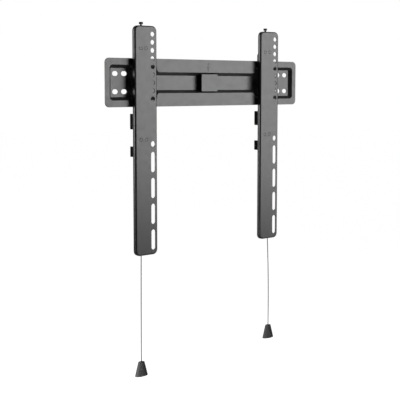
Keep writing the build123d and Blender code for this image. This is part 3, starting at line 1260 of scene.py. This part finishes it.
@dataclass
class Card:
    """A soft light card."""

    name: str
    place: Place
    aim: Place
    size: tuple[float, float]
    watts: float
    spread: float = 180.0

    def hang(self) -> None:
        """Hangs the card in the scene, facing what it is aimed at."""
        lamp = bpy.data.lights.new(self.name, "AREA")
        lamp.shape = "RECTANGLE"
        lamp.size, lamp.size_y = self.size
        lamp.energy = self.watts
        lamp.spread = math.radians(self.spread)
        card = bpy.data.objects.new(self.name, lamp)
        card.location = self.place
        toward = Vector(self.aim) - Vector(self.place)
        card.rotation_euler = toward.to_track_quat("-Z", "Y").to_euler()
        bpy.context.scene.collection.objects.link(card)


@dataclass
class Studio:
    """The light cards, the white surround and the pale floor.

    In the object's gloss the surround is bright only round one direction, behind it. The range
    is between the cosines at which it starts and at which it is full.
    """

    cards: list[Card]
    ambient: float = 0.02
    glossy_back: float = 1.0
    glossy_front: float = 0.01
    glossy_from: Place = (-0.6, 0.8, 0.0)
    glossy_range: tuple[float, float] = (0.72, 0.97)
    floor_height: float = -0.95
    floor_reach: float = 14.0
    floor_tone: float = 0.6
    floor_glow: float = 0.985

    def build(self) -> None:
        """Hangs the cards and makes the surround and the floor."""
        for card in self.cards:
            card.hang()
        self.surround()
        self.floor()
        report.info("studio made with %d cards", len(self.cards))

    def surround(self) -> None:
        """White to the camera, dim to the object, and brighter behind it in its gloss."""
        world = bpy.data.worlds.new("surround")
        bpy.context.scene.world = world
        wires = Wires(world)
        background = wires.node("Background")
        background.inputs["Color"].default_value = (1.0, 1.0, 1.0, 1.0)
        wires.join(background, "Background", wires.node("OutputWorld"), "Surface")
        rays = wires.node("LightPath")
        toward = wires.node("VectorMath", "DOT_PRODUCT")
        toward.inputs[1].default_value = Vector(self.glossy_from).normalized()
        wires.join(wires.node("TexCoord"), "Generated", toward, 0)
        behind = wires.node("MapRange")
        behind.interpolation_type = "SMOOTHSTEP"
        set_range(behind, (*self.glossy_range, self.glossy_front, self.glossy_back))
        wires.join(toward, "Value", behind, "Value")
        gloss = wires.node("Mix")
        gloss.inputs["A"].default_value = self.ambient
        wires.join(rays, "Is Glossy Ray", gloss, "Factor")
        wires.join(behind, "Result", gloss, "B")
        seen = wires.math("MAXIMUM", (rays, "Is Camera Ray"), (rays, "Is Transmission Ray"))
        strength = wires.node("Mix")
        strength.inputs["B"].default_value = 1.0
        wires.join(seen, "Value", strength, "Factor")
        wires.join(gloss, "Result", strength, "A")
        wires.join(strength, "Result", background, "Strength")

    def floor(self) -> None:
        """A pale floor, white to the camera but for the object's shadow."""
        work = bmesh.new()
        bmesh.ops.create_grid(work, x_segments=1, y_segments=1, size=self.floor_reach)
        bmesh.ops.translate(work, verts=work.verts, vec=(0.0, 0.0, self.floor_height))
        floor = mesh_piece("floor", work)
        material = bpy.data.materials.new("pale_floor")
        wires = Wires(material)
        both = wires.node("AddShader")
        matt = wires.node("BsdfDiffuse")
        matt.inputs["Color"].default_value = (*[self.floor_tone] * 3, 1.0)
        glow = wires.node("Emission")
        rays = wires.node("LightPath")
        strength = wires.math("MULTIPLY", (rays, "Is Camera Ray"), self.floor_glow)
        wires.join(strength, "Value", glow, "Strength")
        wires.join(matt, "BSDF", both, 0)
        wires.join(glow, "Emission", both, 1)
        wires.join(both, "Shader", wires.node("OutputMaterial"), "Surface")
        floor.data.materials.append(material)


@dataclass
class PhotoCamera:
    """The camera, placed as the photograph's perspective shows.

    The place is in metres, the angles are in degrees, and the lens and sensor in millimetres.
    """

    place: Place = (-1.0604, -1.3895, -0.0074)
    azimuth: float = 36.990
    pitch: float = -4.876
    lens: float = 77.475
    sensor: float = 36.0
    shift: float = -0.10
    reach: float = 100.0

    def build(self) -> None:
        """Makes the camera and looks through it."""
        data = bpy.data.cameras.new("photo_camera")
        data.sensor_width = self.sensor
        data.lens = self.lens
        data.shift_y = self.shift
        data.clip_end = self.reach
        camera = bpy.data.objects.new("photo_camera", data)
        camera.location = self.place
        turn = math.radians(self.azimuth)
        rise = math.radians(self.pitch)
        level = Vector((math.sin(turn), math.cos(turn), 0.0)) * math.cos(rise)
        ahead = level + Vector((0.0, 0.0, math.sin(rise)))
        camera.rotation_euler = ahead.to_track_quat("-Z", "Y").to_euler()
        bpy.context.scene.collection.objects.link(camera)
        bpy.context.scene.camera = camera


def studio_cards() -> list[Card]:
    """The light cards round the bracket.

    Returns:
        The large key card at the right in front, the rim card at the left behind, a small card
        low at the left that only the pulls take, and the soft card at the right behind.
    """
    return [
        Card("key", (1.08, -1.5, 0.23), (0.0, 0.0, -0.02), (1.5, 1.5), 11.6, 120.0),
        Card("rim", (-1.3, 1.6, 0.0), (0.0, 0.0, -0.1), (0.5, 1.2), 3.5, 120.0),
        Card("low", (-1.0, -0.3, -0.66), (0.0, -0.01, -0.58), (0.3, 0.12), 0.6, 26.0),
        Card("back", (1.0, 2.0, 0.1), (0.0, 0.0, -0.1), (2.2, 1.4), 9.0, 90.0),
    ]


def pull_cords() -> list[PullCord]:
    """The two cords, whose routes are those of the frame's solids.

    Returns:
        The left and the right cord.
    """
    depth, eye = -14.6 * MM, -149.6 * MM
    left_route = ((-164.3, -156.9), (-167.4, -325.0), (-167.5, -561.5))
    right_route = ((146.5, -156.9), (157.1, -330.0), (161.1, -455.0), (159.8, -543.4))
    cords = []
    for side, length, points in (
        (Side.LEFT, 404.6, left_route),
        (Side.RIGHT, 386.9, right_route),
    ):
        route = [(across * MM, depth, height * MM) for across, height in points]
        cords.append(PullCord(side, route, length * MM, (route[0][0], depth, eye)))
    return cords


def rivet_pairs(arm: TrayArm) -> list[RivetPair]:
    """The two pairs of rivets in an arm's face.

    Args:
        arm: The arm that holds them.

    Returns:
        The hook bracket's shoulder rivets, and the latch housing's flush ones.
    """
    # Each pair's name, the solid that it replaces, and its tail's width and depths in mm
    pairs = (
        ("shoulder_rivets", "slide_studs", 7.6, 18.5, 17.0),
        ("flush_rivets", "housing_rivets", 8.0, 19.4, 18.0),
    )
    return [
        RivetPair(name, solid, arm, down, tail * MM, front * MM, back * MM)
        for (name, solid, tail, front, back), down in zip(pairs, arm.rivets_down)
    ]


def main() -> None:
    """Builds the sub-assemblies in order, then the studio and the camera."""
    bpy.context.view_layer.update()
    paints = Paintbox()
    KeptPieces(KEPT_FINISHES).dress(paints)
    for cord in pull_cords():
        cord.build(paints)
    for side, left in ((Side.LEFT, -183.3 * MM), (Side.RIGHT, 127.5 * MM)):
        arm = TrayArm(side=side, left=left)
        arm.build(paints)
        LevelScrew(arm).build(paints)
        for pair in rivet_pairs(arm):
            pair.build(paints)
    Studio(cards=studio_cards()).build()
    PhotoCamera().build()
    bpy.context.scene.view_settings.view_transform = "Standard"


if __name__ == "__main__":
    main()
